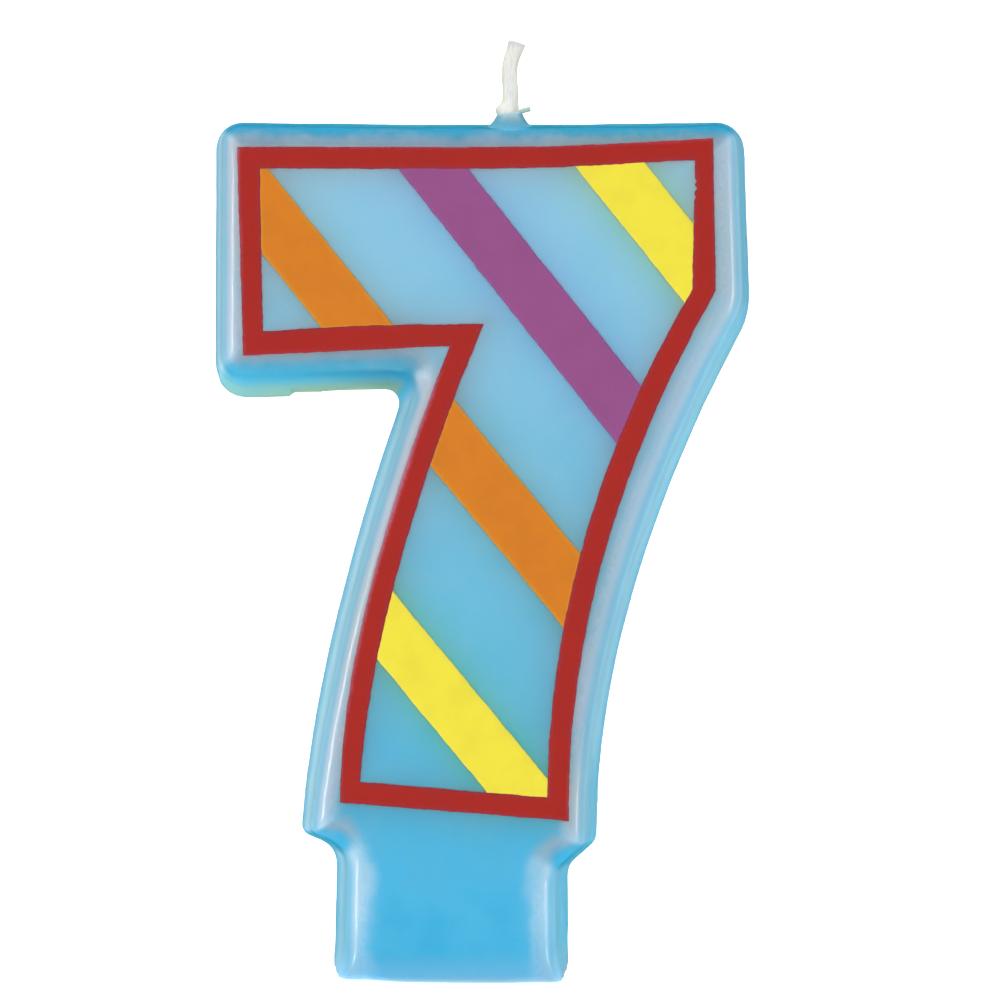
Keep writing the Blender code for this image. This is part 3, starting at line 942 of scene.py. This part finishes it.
def seal_material():
    """Thin wax that the wick shows through, deeper in colour at its foot, with painted shade that darkens
    its sides.
    """
    paint = Paint("seal_wax")
    rise = paint.span(paint.parts(paint.place)[2], (SEAL_TOP - 1.2) * MM, SEAL_TOP * MM)
    cloud = paint.noise(0.8, 2.0)
    turned = paint.math("ABSOLUTE", paint.normal()[0])
    colour = paint.ramp(paint.math("ADD", rise, paint.span(cloud, 0.3, 0.7, -0.1, 0.1)), (
        (0.05, wax_tone(96, 168, 196)),
        (0.5, wax_tone(143, 174, 187)),
        (0.95, wax_tone(166, 198, 209)),
    ))
    # painted shade: the sides of the meniscus that face left and right are darker
    colour = paint.mix(paint.span(turned, 0.3, 0.75, 0.0, 0.75), colour, wax_tone(84, 158, 180))
    paint.set(Base_Color=colour, Roughness=0.35, IOR=WAX_IOR, Specular_IOR_Level=0.4)
    paint.set(Subsurface_Weight=1.0, Subsurface_Radius=(0.5, 0.8, 1.0), Subsurface_Scale=0.6 * MM)
    paint.bump(cloud, 0.02)
    return paint.material


def make_seal(casting):
    """The meniscus of wax that holds the wick, running out thin onto the casting."""
    seal = add_object("wick_meniscus", seal_mesh(surface_tree(casting)), seal_material())
    stand_for(seal, "wick_seal")


# ---------------------------------------------------------------- floor, light and camera

AIM = Vector((4.37, 0.0, 42.0)) * MM
CAMERA_DISTANCE = 0.245
VIEW_ANGLE = 2 * atan(43.45 / 240)
STAGE_RADIUS = 0.95
STAGE_HEIGHT = 1.1
COVE_RADIUS = 0.3


def make_stage():
    """A round pale floor that curves up into a wall, seen by the camera only."""
    shape = bmesh.new()
    profile = [(0.0, 0.0), (STAGE_RADIUS - COVE_RADIUS, 0.0)]
    for step in range(1, 13):
        angle = pi / 2 * step / 12
        profile.append((STAGE_RADIUS - COVE_RADIUS * (1 - sin(angle)), COVE_RADIUS * (1 - cos(angle))))
    profile.append((STAGE_RADIUS, STAGE_HEIGHT))
    vertices = [shape.verts.new((reach, 0.0, height)) for reach, height in profile]
    edges = [shape.edges.new(pair) for pair in zip(vertices, vertices[1:])]
    bmesh.ops.spin(shape, geom=vertices + edges, cent=(0, 0, 0), axis=(0, 0, 1), angle=2 * pi, steps=64,
                   use_merge=True)
    bmesh.ops.remove_doubles(shape, verts=shape.verts, dist=0.0001)
    mesh = bpy.data.meshes.new("stage")
    shape.to_mesh(mesh)
    shape.free()
    paint = Paint("pale_floor")
    paint.set(Base_Color=srgb(235, 235, 235), Roughness=0.9, Specular_IOR_Level=0.0)
    paint.set(Emission_Color=(1.0, 1.0, 1.0, 1.0), Emission_Strength=0.62)
    stage = add_object("stage", mesh, paint.material)
    stage.visible_diffuse = False
    stage.visible_glossy = False
    stage.visible_shadow = False


def add_light(name, azimuth, elevation, distance, size, power, glossy=True):
    """A soft box that faces the candle; azimuth 0 is the camera's side and 90 the candle's right."""
    lamp = bpy.data.lights.new(name, "AREA")
    lamp.shape = "RECTANGLE"
    lamp.size, lamp.size_y = size
    lamp.energy = power
    turn, rise = radians(azimuth), radians(elevation)
    away = Vector((sin(turn) * cos(rise), -cos(turn) * cos(rise), sin(rise)))
    light = bpy.data.objects.new(name, lamp)
    light.location = AIM + away * distance
    light.rotation_euler = away.to_track_quat("Z", "Y").to_euler()
    light.visible_camera = False
    light.visible_glossy = glossy
    bpy.context.scene.collection.objects.link(light)


def make_lights():
    """Narrow soft boxes at both sides for the edges, and broad fills all round."""
    add_light("left_box", -68, -1, 0.6, (0.05, 0.24), 0.85)
    add_light("right_box", 79, -1, 0.6, (0.08, 0.24), 0.6)
    add_light("front_fill", 0, 0, 0.8, (0.9, 0.9), 3.0, glossy=False)
    add_light("left_fill", -112, 0, 0.6, (0.5, 0.5), 1.5, glossy=False)
    add_light("right_fill", 112, 0, 0.6, (0.5, 0.5), 1.55, glossy=False)
    add_light("top_fill", 0, 98, 0.6, (0.5, 0.5), 3.0, glossy=False)
    add_light("table_fill", 0, -98, 0.6, (0.5, 0.5), 4.0, glossy=False)
    world = bpy.data.worlds.new("studio")
    world.use_nodes = True
    world.node_tree.nodes["Background"].inputs["Color"].default_value = (1.0, 1.0, 1.0, 1.0)
    world.node_tree.nodes["Background"].inputs["Strength"].default_value = 0.55
    world.cycles_visibility.glossy = False
    bpy.context.scene.world = world
    bpy.context.scene.view_settings.view_transform = "Standard"


def make_camera():
    """Straight at the printed face from a little right of the middle, level with the candle's middle."""
    lens = bpy.data.cameras.new("camera")
    lens.sensor_width = 36.0
    lens.angle = VIEW_ANGLE
    camera = bpy.data.objects.new("camera", lens)
    camera.location = AIM - Vector((0.0, CAMERA_DISTANCE, 0.0))
    camera.rotation_euler = (pi / 2, 0.0, 0.0)
    bpy.context.scene.collection.objects.link(camera)
    bpy.context.scene.camera = camera


make_camera()
make_lights()
make_stage()
wax_casting = make_casting()
make_ink(wax_casting)
make_wick()
make_strand()
make_seal(wax_casting)
